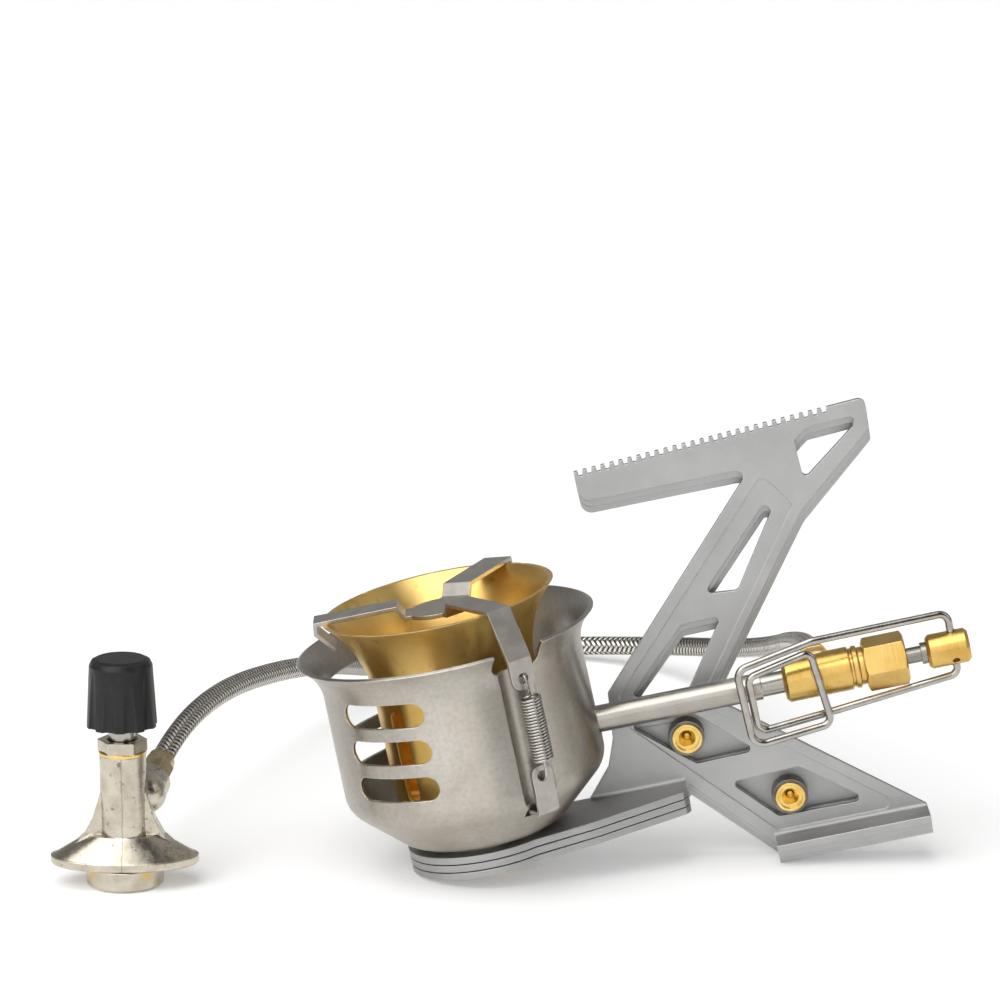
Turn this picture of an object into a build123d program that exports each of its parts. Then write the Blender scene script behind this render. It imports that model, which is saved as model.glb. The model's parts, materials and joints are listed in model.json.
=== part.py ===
"""Folded backpacking stove with a remote canister valve, in millimetres, +Z up, on the floor z = 0."""

import os
from math import atan2, cos, degrees, hypot, pi, radians, sin, sqrt, tan

from build123d import *

os.makedirs("parts", exist_ok=True)
made = {}

# How the folded stove leans on its hub and on the rear leg's foot.
lean = 11.8
frame_shift = (-3.71, 0.0)
slack = 0.3
fit = 0.05
tiny = 1e-6

# Hub stack, from the bolt head upwards.
head_radius, head_height = 5.5, 1.6
washer_radius, washer_height = 9.0, 0.5
sheet = 1.5
pitch = sheet + slack
hub_radius = 18.0
sleeve_radius = 5.0
bolt_radius, bolt_top = 2.0, 15.0
rear_flange = head_height + washer_height
fixed_flange = rear_flange + 2 * pitch
disc_radius, disc_height = 14.0, 0.8
cup_floor = fixed_flange + sheet + disc_height

# Leg plate, seen square on: along the feed tube, and up the burner axis.
plate_front = 7.0
bar_left, bar_right, bar_top, bar_rise, bar_low = 34.6, 99.9, 81.0, 3.4, 74.1
teeth, teeth_end_share, tooth_depth = 28, 0.87, 1.2
tooth_shares = (0.4, 0.5, 0.9)
leg_span = 65.3
strut = [(99.7, 77.7), (81.8, 62.5), (54.0, 25.1)]
foot_top = (96.5, -9.2)
foot_left, foot_right = 62.0, 96.6
flange_end = 45.0
gusset = [(22.0, 0.0), (28.8, 8.0), (31.0, 14.0), (32.0, 30.3), (72.7, 74.1)]
foot_inner = (45.6, 6.2)
bar_round, corner_round, kink_round = 2.6, 1.6, 8.0
windows = [
    [(86.1, 80.4), (97.2, 81.0), (96.3, 78.6), (83.6, 69.0), (83.1, 78.2)],
    [(74.1, 65.8), (75.3, 63.6), (64.7, 47.5), (57.1, 48.2)],
    [(50.9, 42.4), (60.1, 42.6), (49.8, 27.6), (36.2, 28.0)],
]
foot_windows = [
    [(34.4, 22.4), (48.2, 10.4), (62.0, 10.6), (49.3, 22.4)],
    [(54.3, 4.7), (63.8, -5.3), (84.0, -5.6), (70.3, 5.1)],
]
window_round = 1.0
panels = [
    [(74.6, 72.2), (80.2, 64.2), (52.0, 25.0), (36.0, 25.0), (33.9, 28.8)],
    [(33.0, 24.0), (63.0, -8.4), (91.4, -8.4), (52.4, 23.2)],
]
panel_depth, panel_round = 0.35, 1.6
stop_tab, stop_place, stop_drop = (5.0, 1.2), (8.0, -12.0), 1.7
hub_arm = [(0.0, -17.9), (24.0, -10.5), (44.0, -1.6)]
foot_depth = 8.0
bend_radius = 0.9

# Spare jets and their sockets, on the rear leg, seen in the foot windows.
spare_places = [(47.2, 16.9), (67.1, -1.0)]
socket_gap, socket_wall, socket_depth = 0.25, 0.7, 4.4
spare_proud, spare_lip, spare_dish, spare_step, spare_bore = 0.5, 0.6, 0.7, 1.9, 0.7
spare_cone = 1.6

# Wind cup.
cup_sheet = 0.8
cup_base, cup_corner, cup_neck, cup_rim = 17.4, (29.2, 19.2), (28.9, 44.6), (33.2, 53.2)
cup_rounds, cup_inset_share = (6.0, 6.0), 0.4
lip_share = 0.98
slot_rows, slot_length, slot_height = (43.6, 35.3, 27.0), 21.0, 5.4
slot_angles = (-124.0, 150.0, 75.0)
slot_reach = cup_rim[0] + cup_neck[0] / 4
clip_angle = -60.0
notch_width, notch_floor, notch_round = 12.0, 48.4, 2.4
groove_radius, groove_out, groove_low = 5.0, 31.5, 18.4
tube_level = 27.1
mouth_width, mouth_low, mouth_high = 7.4, tube_level - 3.6, tube_level + 14.9
anchor_slot, anchor_level = (6.0, 2.0), 16.0

# Burner stem, main jet and bell.
stem_rings = [(7.0, 0.0), (7.0, 8.2), (5.0, 8.2), (5.0, 20.0), (4.4, 20.6), (4.4, 22.2)]
stem_floor = cup_floor + cup_sheet
stem_top = stem_floor + stem_rings[-1][1]
gas_bore, jet_bore, jet_seat = 1.2, 1.8, 3.2
jet_head, jet_height, jet_hole = 3.0, 2.4, 0.35
bell_wall, bell_radius, bell_throat, bell_rim = 1.0, 18.1, 43.0, (25.8, 61.0)
bell_floor = stem_floor + stem_rings[1][1]
air_slot, air_level, air_angles = (21.0, 4.2), 30.5, (-138.0, -48.0, 42.0, 132.0)

# Clip with three arms, its spring and the anchor.
strap, strap_width = 0.9, 7.0
clip_disc, clip_sink, clip_step, clip_slope = 7.0, 2.6, 0.9, 1.5
arm_count = 3
arm_level = bell_rim[1]
clip_low = arm_level - clip_sink
hook_turn = [(0.9, 0.0), (1.1, -1.5), (-2.2, -5.6)]
arm_stand, arm_shoulder, arm_drop, arm_hole_rise, hook_hole = 2.3, 51.0, 6.6, 2.5, 1.2
arm_out, arm_end = cup_neck[0] + arm_stand, arm_shoulder - arm_drop
arm_hole_level = arm_end + arm_hole_rise
strap_narrow, strap_round = 5.6, 2.2
spring_wire, spring_mean, spring_pitch = 0.3, 2.1, 1.03
spring_stand, spring_lead = 2.0, 1.4
low_hook, low_hook_rise, low_lead = 1.75, 1.1, 1.6
high_hook, high_hook_drop, high_lead = 1.35, 0.7, 2.6
anchor_in, anchor_top, anchor_hole_drop = 26.0, 27.0, 2.3
anchor_width = 5.0
anchor_out, anchor_hole_level = arm_out, anchor_top - anchor_hole_drop
spring_out = arm_out + spring_stand
low_hook_level, high_hook_level = anchor_hole_level + low_hook_rise, arm_hole_level - high_hook_drop
spring_low, spring_high = low_hook_level + low_lead, high_hook_level - high_lead
spring_turns = int((spring_high - spring_low - 2 * spring_lead) / spring_pitch)

# Feed tube, control block and knob, along the tube.
tube_radius, tube_wall, tube_in, tube_out = 3.0, 0.8, 3.8, 70.5
neck_length, neck_small = 5.0, 2.5
block_rings = [(4.0, 0.0), (4.8, 0.8), (4.8, 14.8), (4.3, 15.1), (4.3, 15.5), (4.7, 15.8), (4.7, 16.7),
               (4.2, 17.0), (4.2, 18.0)]
spindle_radius, spindle_tip = 1.8, 3.0
block_bore, block_seat = spindle_radius + fit, 6.0
port_along, port_up, port_radius, port_depth, port_bore, port_angle = 8.0, 2.2, 3.0, 7.6, 1.3, 8.0
nut_flats, nut_length, nut_round, nut_angle, nut_chamfer = 10.4, 9.4, 5.6, -22.0, 0.7
packing_length = 2.0
shoulder_radius, shoulder_length = 2.4, 1.3
knob_radius, knob_gap, knob_length, knob_socket = 3.8, 4.6, 9.4, 4.2
knob_chamfer = 0.7
cross_along, cross_sink, cross_sink_radius = 5.2, 0.6, 1.5
spare_hole_angle, spare_hole_depth = -52.0, 1.5
wire_radius = 0.85
bail_angle, bail_second = 12.5, 2 * wire_radius + 3 * fit
bail_route = [(0.0, 1.9), (0.0, 7.9), (31.2, 9.5), (48.8, 7.3), (48.2, -10.2), (30.0, -9.7), (31.9, 7.3),
              (46.6, 5.1), (46.1, -7.9), (29.0, -7.6), (0.0, -6.1), (0.0, -1.9)]
bail_behind = (8, 9)
bail_bends = [2.2, 6.0, 2.4, 3.0, 2.0, 1.8, 1.8, 2.4, 6.0, 1.8]
bail_inside = 2.3

# Hose, its fittings and its route over the floor behind the stove.
hose_radius = 2.5
ferrule_radius, ferrule_length, nipple_flats, nipple_length = 3.1, 6.0, 6.4, 2.6
first_run, last_run = 28.0, 36.0
route = [(-46.0, 101.0, 20.5), (-24.0, 157.0, 3.6), (10.0, 187.0, 2.0), (46.0, 169.0, 6.6),
         (66.0, 114.0, 20.0)]
run_share = 0.45

# Canister valve, upright on the floor.
valve_place = (-81.0, -11.0)
collar_radius, collar_bore, collar_height, collar_edge = 8.5, 5.6, 4.6, 0.7
base_radius, base_height, base_reach, base_edge = 8.6, 4.0, 16.2, 0.8
body_radius, body_top = 5.1, 29.6
skirt_radius, skirt_reach, skirt_top, skirt_inset = 5.3, 7.6, 11.6, 0.3
wing = [(0.0, 6.0), (13.6, 6.2), (11.4, 8.8), (8.8, 11.2), (6.9, 14.8), (5.0, 21.0), (0.0, 21.0)]
wing_thick = 3.6
boss_place, boss_level, boss_radius = (4.4, 3.8), 19.6, 4.8
outlet_heading, outlet_angle = (0.2, 0.98), 14.0
outlet_bore, outlet_length = 1.3, 6.0
ring_height, ring_radius = 0.6, 5.2
gland_flats, gland_height, gland_sink, gland_mouth = 9.4, 2.6, 1.0, 3.4
stem_radius, stem_low, stem_high = 1.85, 20.0, 43.0
stem_collar, stem_gap = 2.9, 0.4
cap_low, cap_high, cap_radius, cap_lobes, lobe_radius, lobe_out = 35.9, 51.0, 7.7, 10, 2.0, 8.9
cap_draft, cap_round = 0.8, 1.5
seal_ring, seal_wire = 4.3, 0.9
pin_radius, pin_low, pin_plug = 0.8, 5.0, 2.4
packing_height = 1.6


def keep(piece, label, seat):
    """Stands a finished piece in the shared frame, names it and writes it."""
    placed = piece.part.moved(seat)
    placed.label = label
    export_step(placed, f"parts/{label}.step")
    made[label] = placed


def radial(angle, level=0.0, out=0.0):
    """Plane that faces outwards from the burner axis at an angle, local X along the wall, local Y up."""
    away = (cos(radians(angle)), sin(radians(angle)))
    return Plane((away[0] * out, away[1] * out, level), x_dir=(-away[1], away[0], 0),
                 z_dir=(away[0], away[1], 0))


def section(angle):
    """Plane through the burner axis at an angle, local X outwards and local Y up."""
    return Plane((0, 0, 0), x_dir=(cos(radians(angle)), sin(radians(angle)), 0),
                 z_dir=(sin(radians(angle)), -cos(radians(angle)), 0))


def ribbon(points, thick):
    """Closed outline of a bent strap: the points are one face, and the other face lies to their left."""
    far = []
    for i, (x, y) in enumerate(points):
        before, after = points[max(i - 1, 0)], points[min(i + 1, len(points) - 1)]
        runs = [(x - before[0], y - before[1]), (after[0] - x, after[1] - y)]
        sides = [(-b / hypot(a, b), a / hypot(a, b)) for a, b in runs if hypot(a, b) > 0]
        first, last = sides[0], sides[-1]
        reach = thick / (1 + first[0] * last[0] + first[1] * last[1])
        far.append((x + (first[0] + last[0]) * reach, y + (first[1] + last[1]) * reach))
    return points + far[::-1]


def turned(rings, floor=0.0):
    """Solid turned about Z from (radius, height) pairs."""
    outline = [(0, floor + rings[0][1])] + [(r, floor + h) for r, h in rings] + [(0, floor + rings[-1][1])]
    with BuildSketch(Plane.XZ) as half:
        with BuildLine():
            Polyline(*outline, close=True)
        make_face()
    revolve(half.sketch, axis=Axis.Z)


def polygon(points, place, depth, rounding=0.0, mode=Mode.ADD, corners=()):
    """Prism of an outline on a plane, with all its corners rounded or only the ones named."""
    with BuildSketch(place) as flat:
        with BuildLine():
            Polyline(*points, close=True)
        make_face()
        if rounding:
            fillet(flat.vertices(), rounding)
        for (x, y), radius in corners:
            fillet([v for v in flat.vertices() if hypot(v.X - x, v.Y - y) < tiny], radius)
    extrude(flat.sketch, amount=depth, mode=mode)


def bore(place, radius, depth):
    """Round hole from a plane along its normal."""
    with BuildSketch(place) as disc:
        Circle(radius)
    extrude(disc.sketch, amount=depth, mode=Mode.SUBTRACT)


touch = rear_flange * cos(radians(lean)) - hub_radius * sin(radians(lean))
stove = Location((frame_shift[0], frame_shift[1], -touch), (0, -lean, 0))
foot_low = (touch - foot_left * sin(radians(lean))) / cos(radians(lean)) + 2 * pitch
along_tube = Plane((0, 0, tube_level), x_dir=(0, 1, 0), z_dir=(1, 0, 0))

# Hub: bolt, washer, sleeve and the disc under the cup.
with BuildPart() as hub_bolt:
    turned([(head_radius - slack, 0), (head_radius, slack), (head_radius, head_height)])
    turned([(bolt_radius, head_height), (bolt_radius, bolt_top)])
keep(hub_bolt, "hub_bolt", stove)

with BuildPart() as hub_washer:
    turned([(washer_radius, head_height), (washer_radius, rear_flange)])
    bore(Plane.XY.offset(head_height), bolt_radius, washer_height)
keep(hub_washer, "hub_washer", stove)

with BuildPart() as hub_sleeve:
    turned([(sleeve_radius, rear_flange), (sleeve_radius, fixed_flange + sheet)])
    bore(Plane.XY.offset(rear_flange), bolt_radius, fixed_flange + sheet - rear_flange)
keep(hub_sleeve, "hub_sleeve", stove)

with BuildPart() as base_disc:
    turned([(disc_radius, fixed_flange + sheet), (disc_radius, cup_floor)])
    bore(Plane.XY.offset(fixed_flange + sheet), bolt_radius, disc_height)
keep(base_disc, "base_disc", stove)

# Three equal legs, nested one behind and below the other.
stretch = (bar_right - bar_left) / leg_span


def across(points):
    """Leg points, drawn out or in with the length of the bar."""
    return [(bar_left + (x - bar_left) * stretch, z) for x, z in points]


def crest(x):
    """Top of the bar, which rises a little towards its outer end."""
    return bar_top + bar_rise * (x - bar_left) / (bar_right - bar_left)


def room(point, corners):
    """Distance from a point to the nearest side of a window."""
    sides = zip(corners, corners[1:] + corners[:1])
    return min(abs((point[0] - a[0]) * (b[1] - a[1]) - (point[1] - a[1]) * (b[0] - a[0]))
               / hypot(b[0] - a[0], b[1] - a[1]) for a, b in sides)


bar_span = bar_right - bar_left
tooth = bar_span * teeth_end_share / teeth
teeth_line = []
for n in range(teeth):
    start = bar_left + n * tooth
    peg, root, rise = [start + tooth * share for share in tooth_shares]
    teeth_line += [(start, crest(start)), (peg, crest(peg)), (root, crest(root) - tooth_depth),
                   (rise, crest(rise) - tooth_depth)]
teeth_end = bar_left + teeth * tooth
bar_corner = (bar_right, bar_top + bar_rise)
strut_line, foot_line = across(strut), across([foot_top])
arm_line = [(x, fixed_flange + z) for x, z in gusset[:3]] + across(gusset[3:])
foot_start, foot_end = across([(foot_left, foot_low), (foot_right, foot_low)])
seen_windows = [across(hole) for hole in foot_windows]
jet_places = across(spare_places)
socket_radius = min(room(spot, hole) for spot, hole in zip(jet_places, seen_windows)) - socket_gap
spare_radius = socket_radius - socket_wall
leg_rounds = [(bar_corner, corner_round), (strut_line[0], corner_round), (strut_line[1], kink_round),
              (arm_line[-1], corner_round), ((bar_left, bar_low), bar_round)]
for number, (label, bare) in enumerate([("leg_fixed", False), ("leg_middle", False), ("leg_rear", True)]):
    front = plate_front + number * pitch
    drop = -number * pitch
    face = Plane((0, front, drop), x_dir=(1, 0, 0), z_dir=(0, -1, 0))
    outline = teeth_line + [(teeth_end, crest(teeth_end)), bar_corner] + strut_line + foot_line
    outline += [foot_end, foot_start] + across([foot_inner]) + [(flange_end, fixed_flange)]
    outline += arm_line + [(bar_left, bar_low)]
    with BuildPart() as leg:
        polygon(outline, face, -sheet, corners=leg_rounds)
        polygon(hub_arm + [(flange_end, slack), (flange_end, front + sheet), (0, front + sheet)],
                Plane.XY.offset(fixed_flange + drop), sheet)
        with BuildSketch(Plane.XY.offset(fixed_flange + drop)):
            Circle(hub_radius)
        extrude(amount=sheet)
        polygon([(foot_start[0], front - foot_depth), (foot_end[0], front - foot_depth),
                 (foot_end[0], front + sheet), (foot_start[0], front + sheet)],
                Plane.XY.offset(foot_low + drop), sheet)
        for recess in map(across, panels):
            polygon(recess, face, -panel_depth, panel_round, Mode.SUBTRACT)
        lower = [] if bare else [[(x, z - drop) for x, z in hole] for hole in seen_windows]
        for hole in [across(hole) for hole in windows] + lower:
            polygon(hole, face, -sheet, window_round, Mode.SUBTRACT)
        bore(Plane.XY.offset(fixed_flange + drop), sleeve_radius + (0 if number == 0 else fit), sheet)
        if bare:
            with BuildSketch(Plane.XY.offset(fixed_flange + drop)):
                with Locations(stop_place):
                    Rectangle(*stop_tab)
            extrude(amount=-stop_drop)
            for x, z in jet_places:
                bore(Plane((x, front, z), x_dir=(1, 0, 0), z_dir=(0, 1, 0)), spare_radius, sheet)
        tops = [drop + sheet + level for level in (fixed_flange, foot_low)]
        inside = [e for e in leg.edges().filter_by(Axis.X) if abs(e.center().Y - front) < tiny
                  and min(abs(e.center().Z - top) for top in tops) < tiny]
        fillet(inside, bend_radius)
    keep(leg, label, stove)

# Spare jets, screwed into sockets on the rear leg.
rear_front = plate_front + 2 * pitch
for letter, (x, z) in zip("ab", jet_places):
    with BuildPart() as jet_socket:
        toward = Plane((x, rear_front, z), x_dir=(1, 0, 0), z_dir=(0, -1, 0))
        with BuildSketch(toward):
            Circle(socket_radius)
            Circle(spare_radius, mode=Mode.SUBTRACT)
        extrude(amount=socket_depth)
    keep(jet_socket, f"jet_socket_{letter}", stove)
    with BuildPart() as spare_jet:
        with BuildSketch(toward.offset(-sheet)):
            Circle(spare_radius)
        extrude(amount=sheet + socket_depth + spare_proud)
        jet_face = toward.offset(socket_depth + spare_proud)
        bore(Plane(jet_face.origin, x_dir=(1, 0, 0), z_dir=(0, 1, 0)), spare_radius - spare_lip, spare_dish)
        with BuildSketch(jet_face.offset(-spare_dish)):
            Circle(spare_step)
        with BuildSketch(jet_face.offset(-spare_dish - spare_cone)):
            Circle(spare_bore)
        loft(mode=Mode.SUBTRACT)
        bore(Plane(jet_face.origin, x_dir=(1, 0, 0), z_dir=(0, 1, 0)), spare_bore, socket_depth)
    keep(spare_jet, f"spare_jet_{letter}", stove)

# Wind cup: a drawn shell with slots, a notch for the clip and a mouth for the tube.
cup_lip = (cup_rim[0] - cup_sheet * lip_share, cup_rim[1] + cup_sheet / 2)
groove = (groove_out * cos(radians(clip_angle)), groove_out * sin(radians(clip_angle)), groove_low)
with BuildPart() as wind_cup:
    with BuildSketch(Plane.XZ):
        with BuildLine():
            wall = FilletPolyline((0, cup_floor), (cup_base, cup_floor), cup_corner, cup_neck, radius=cup_rounds)
            TangentArc(cup_neck, cup_rim, tangent=wall % 1)
            Polyline(cup_rim, cup_lip, (0, cup_lip[1]), (0, cup_floor))
        make_face()
    revolve(axis=Axis.Z)
    with BuildPart(mode=Mode.SUBTRACT):
        with BuildSketch(Plane.XZ):
            with BuildLine():
                inset = cup_sheet * cup_inset_share
                lining = FilletPolyline((0, cup_floor + cup_sheet), (cup_base - inset, cup_floor + cup_sheet),
                                        (cup_corner[0] - cup_sheet, cup_corner[1] + inset),
                                        (cup_neck[0] - cup_sheet, cup_neck[1]), radius=cup_rounds)
                TangentArc((cup_neck[0] - cup_sheet, cup_neck[1]), cup_lip, tangent=lining % 1)
                Polyline(cup_lip, (0, cup_lip[1]), (0, cup_floor + cup_sheet))
            make_face()
        revolve(axis=Axis.Z)
        with Locations((groove[0], groove[1], groove_low - cup_sheet)):
            Cylinder(groove_radius + cup_sheet, notch_floor - groove_low + cup_sheet, mode=Mode.SUBTRACT,
                     align=(Align.CENTER, Align.CENTER, Align.MIN))
    with Locations(groove):
        Cylinder(groove_radius, notch_floor - groove_low, mode=Mode.SUBTRACT,
                 align=(Align.CENTER, Align.CENTER, Align.MIN))
    for angle in slot_angles:
        for row in slot_rows:
            with BuildSketch(radial(angle, row)):
                SlotOverall(slot_length, slot_height)
            extrude(amount=slot_reach, mode=Mode.SUBTRACT)
    with BuildSketch(radial(clip_angle, notch_floor + slot_reach / 2)):
        RectangleRounded(notch_width, slot_reach, notch_round)
    extrude(amount=slot_reach, mode=Mode.SUBTRACT)
    with BuildSketch(radial(0, (mouth_low + mouth_high) / 2)):
        RectangleRounded(mouth_width, mouth_high - mouth_low, notch_round)
    extrude(amount=slot_reach, mode=Mode.SUBTRACT)
    with BuildSketch(radial(clip_angle, anchor_level)):
        Rectangle(*anchor_slot)
    extrude(amount=slot_reach, mode=Mode.SUBTRACT)
    bore(Plane.XY.offset(cup_floor), bolt_radius, cup_sheet)
keep(wind_cup, "wind_cup", stove)

# Burner stem, main jet and bell.
with BuildPart() as burner_stem:
    turned(stem_rings, stem_floor)
    bore(Plane.XY.offset(stem_floor), bolt_radius, bolt_top - stem_floor)
    bore(Plane.XY.offset(tube_level), gas_bore, stem_top - tube_level)
    bore(Plane.XY.offset(stem_top - jet_seat), jet_bore, jet_seat)
    bore(along_tube, gas_bore, tube_in)
    bore(along_tube.offset(tube_in), neck_small, tube_in)
keep(burner_stem, "burner_stem", stove)

with BuildPart() as main_jet:
    turned([(jet_bore, stem_top - jet_seat + slack), (jet_bore, stem_top), (jet_head, stem_top),
            (jet_head, stem_top + jet_height - slack), (jet_head - slack, stem_top + jet_height)])
    bore(Plane.XY.offset(stem_top - jet_seat), jet_hole, jet_seat + jet_height)
    bore(Plane.XY.offset(stem_top - jet_seat), gas_bore, jet_seat)
keep(main_jet, "main_jet", stove)

with BuildPart() as burner_bell:
    with BuildSketch(Plane.XZ):
        with BuildLine():
            seat_edge, inner = stem_rings[2][0], bell_radius - bell_wall
            Polyline((seat_edge, bell_floor + bell_wall), (seat_edge, bell_floor), (bell_radius, bell_floor),
                     (bell_radius, bell_throat))
            TangentArc((bell_radius, bell_throat), bell_rim, tangent=(0, 1))
            Line(bell_rim, (bell_rim[0] - bell_wall, bell_rim[1]))
            TangentArc((inner, bell_throat), (bell_rim[0] - bell_wall, bell_rim[1]), tangent=(0, 1))
            Polyline((inner, bell_throat), (inner, bell_floor + bell_wall),
                     (seat_edge, bell_floor + bell_wall))
        make_face()
    revolve(axis=Axis.Z)
    for angle in air_angles:
        with BuildSketch(radial(angle, air_level)):
            SlotOverall(*air_slot, rotation=90)
        extrude(amount=slot_reach, mode=Mode.SUBTRACT)
    bore(along_tube.offset(bell_radius / 2), tube_radius + slack, bell_radius)
keep(burner_bell, "burner_bell", stove)

# Clip: a sunk disc and three stepped arms, of which the front one runs down outside the bell to the spring.
step_in = clip_disc + clip_step
over_rim = [(bell_rim[0] + x, arm_level + z) for x, z in hook_turn]
hooked = [(clip_disc - strap, clip_low), (step_in, clip_low), (step_in + clip_slope, arm_level)] + over_rim
long_arm = hooked[:4] + [(arm_out, arm_shoulder), (arm_out, arm_end)]
with BuildPart() as clip:
    with BuildSketch(Plane.XY.offset(clip_low)):
        Circle(clip_disc)
    extrude(amount=strap)
    for n, path in enumerate([long_arm, hooked, hooked]):
        width = strap_width if n else strap_narrow
        polygon(ribbon(path, strap), section(clip_angle + n * 360 / arm_count).offset(-width / 2), width)
    fillet([e for e in clip.edges() if abs(e.center().Z - arm_end) < tiny and abs(e.length - strap) < tiny],
           strap_round)
    bore(radial(clip_angle, arm_hole_level, arm_out - strap), hook_hole, 3 * strap)
keep(clip, "clip", stove)

with BuildPart() as spring_anchor:
    path = [(anchor_in, anchor_level), (anchor_out - strap, anchor_level), (anchor_out, anchor_level + strap),
            (anchor_out, anchor_top)]
    polygon(ribbon(path, strap), section(clip_angle).offset(-anchor_width / 2), anchor_width)
    fillet([e for e in spring_anchor.edges() if abs(e.center().Z - anchor_top) < tiny
            and abs(e.length - strap) < tiny], strap_round)
    bore(radial(clip_angle, anchor_hole_level, anchor_out - 2 * strap), hook_hole, 4 * strap)
keep(spring_anchor, "spring_anchor", stove)


def coil(turn):
    """Point of the spring's wire, in its own upright frame."""
    share = turn / spring_turns
    height = spring_low + spring_lead + share * (spring_high - spring_low - 2 * spring_lead)
    return Vector(spring_mean * cos(2 * pi * turn), spring_mean * sin(2 * pi * turn), height)


def biarc(start, start_way, end, end_way):
    """Two arcs that meet smoothly between two points with given directions, or a line."""
    run, ways = end - start, start_way + end_way
    turn = 2 * (1 - start_way.dot(end_way))
    if run.normalized().dot(start_way) > 1 - tiny and turn < tiny:
        Line(start, end)
        return
    reach = run.dot(run) / (2 * run.dot(ways)) if turn < tiny else (
        sqrt(run.dot(ways) ** 2 + turn * run.dot(run)) - run.dot(ways)) / turn
    near, far = start + start_way * reach, end - end_way * reach
    TangentArc(start, (near + far) / 2, tangent=start_way)
    TangentArc((near + far) / 2, end, tangent=(far - near).normalized())


up, out = Vector(0, 0, 1), Vector(1, 0, 0)
climb = (coil(spring_turns) - coil(0)).Z / spring_turns
marks = [(Vector(-2 * low_hook, 0, low_hook_level + spring_wire), up * -1),
         (Vector(-2 * low_hook, 0, low_hook_level), up * -1),
         (Vector(-low_hook, 0, low_hook_level - low_hook), out),
         (Vector(0, 0, low_hook_level), up), (Vector(0, 0, spring_low - spring_lead), up)]
for n in range(2 * spring_turns + 1):
    marks.append((coil(n / 2), Vector(0, cos(pi * n) * 2 * pi * spring_mean, climb).normalized()))
marks += [(Vector(0, 0, spring_high + spring_lead), up), (Vector(0, 0, high_hook_level), up),
          (Vector(-high_hook, 0, high_hook_level + high_hook), out * -1),
          (Vector(-2 * high_hook, 0, high_hook_level), up * -1)]
with BuildPart() as clip_spring:
    with BuildLine() as wire:
        for (start, start_way), (end, end_way) in zip(marks, marks[1:]):
            biarc(start, start_way, end, end_way)
    with BuildSketch(Plane(marks[0][0], x_dir=(1, 0, 0), z_dir=marks[0][1])):
        Circle(spring_wire)
    sweep(path=wire.wire())
at_spring = Location(radial(clip_angle).location.position + Vector(
    spring_out * cos(radians(clip_angle)), spring_out * sin(radians(clip_angle)), 0), (0, 0, clip_angle))
keep(clip_spring, "clip_spring", stove * at_spring)
print("spring gap", climb - 2 * spring_wire)

# Feed tube and control block, spindle, knob and bail, along the tube.
with BuildPart() as feed_tube:
    with BuildSketch(along_tube.offset(tube_in + neck_length)):
        Circle(tube_radius)
    extrude(amount=tube_out - tube_in - 2 * neck_length)
    with BuildSketch(along_tube.offset(tube_in)):
        Circle(neck_small)
    extrude(amount=tube_out - tube_in)
    bore(along_tube.offset(tube_in), tube_radius - 2 * tube_wall, tube_out - tube_in)
keep(feed_tube, "feed_tube", stove)

at_block = stove * Location((tube_out, 0, tube_level), (0, 90, 0))
block_length = block_rings[-1][1]
with BuildPart() as control_block:
    turned(block_rings)
    port_face = Plane((-port_up, 0, port_along), x_dir=(0, 0, 1),
                      z_dir=(sin(radians(port_angle)), cos(radians(port_angle)), 0))
    with BuildSketch(port_face):
        Circle(port_radius)
    extrude(amount=port_depth)
    bore(Plane.XY, tube_radius - 2 * tube_wall, block_seat)
    bore(Plane.XY.offset(block_seat), block_bore, block_length - block_seat)
    bore(port_face, port_bore, port_depth)
keep(control_block, "control_block", at_block)

with BuildPart() as gland_nut:
    with BuildSketch(Plane.XY.offset(block_length)):
        RegularPolygon(nut_flats / 2, 6, major_radius=False, rotation=nut_angle)
    extrude(amount=nut_length)
    with BuildPart(mode=Mode.INTERSECT):
        turned([(nut_round - nut_chamfer, 0), (nut_round + nut_chamfer, nut_chamfer),
                (nut_round + nut_chamfer, nut_length - nut_chamfer), (nut_round - nut_chamfer, nut_length)],
               block_length)
    bore(Plane.XY.offset(block_length), spindle_radius + fit, nut_length)
    bore(Plane.XY.offset(block_length), 2 * spindle_radius, packing_length)
keep(gland_nut, "gland_nut", at_block)

with BuildPart() as spindle_packing:
    with BuildSketch(Plane.XY.offset(block_length)):
        Circle(2 * spindle_radius)
        Circle(spindle_radius, mode=Mode.SUBTRACT)
    extrude(amount=packing_length)
keep(spindle_packing, "spindle_packing", at_block)

spindle_low = block_seat + spindle_tip
knob_low = block_length + nut_length + knob_gap
with BuildPart() as control_spindle:
    turned([(slack, spindle_low - spindle_tip + slack), (spindle_radius, spindle_low),
            (spindle_radius, knob_low - shoulder_length), (shoulder_radius, knob_low - shoulder_length),
            (shoulder_radius, knob_low), (spindle_radius, knob_low),
            (spindle_radius, knob_low + knob_socket)])
keep(control_spindle, "control_spindle", at_block)

with BuildPart() as end_knob:
    turned([(knob_radius - knob_chamfer, knob_low), (knob_radius, knob_low + knob_chamfer),
            (knob_radius, knob_low + knob_length - knob_chamfer),
            (knob_radius - knob_chamfer, knob_low + knob_length)])
    bore(Plane.XY.offset(knob_low), spindle_radius, knob_socket)
    for side in (-1, 1):
        cross = Plane((side * knob_radius, 0, knob_low + cross_along + knob_chamfer), x_dir=(0, 1, 0),
                      z_dir=(-side, 0, 0))
        bore(cross, wire_radius + fit, 2 * bail_inside)
        with BuildSketch(cross):
            Circle(cross_sink_radius)
        with BuildSketch(cross.offset(cross_sink)):
            Circle(wire_radius + fit)
        loft(mode=Mode.SUBTRACT)
    away = (cos(radians(spare_hole_angle)), sin(radians(spare_hole_angle)))
    bore(Plane((knob_radius * away[0], knob_radius * away[1], knob_low + cross_along + knob_chamfer),
               x_dir=(0, 0, 1), z_dir=(-away[0], -away[1], 0)), wire_radius, spare_hole_depth)
keep(end_knob, "end_knob", at_block)

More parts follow.
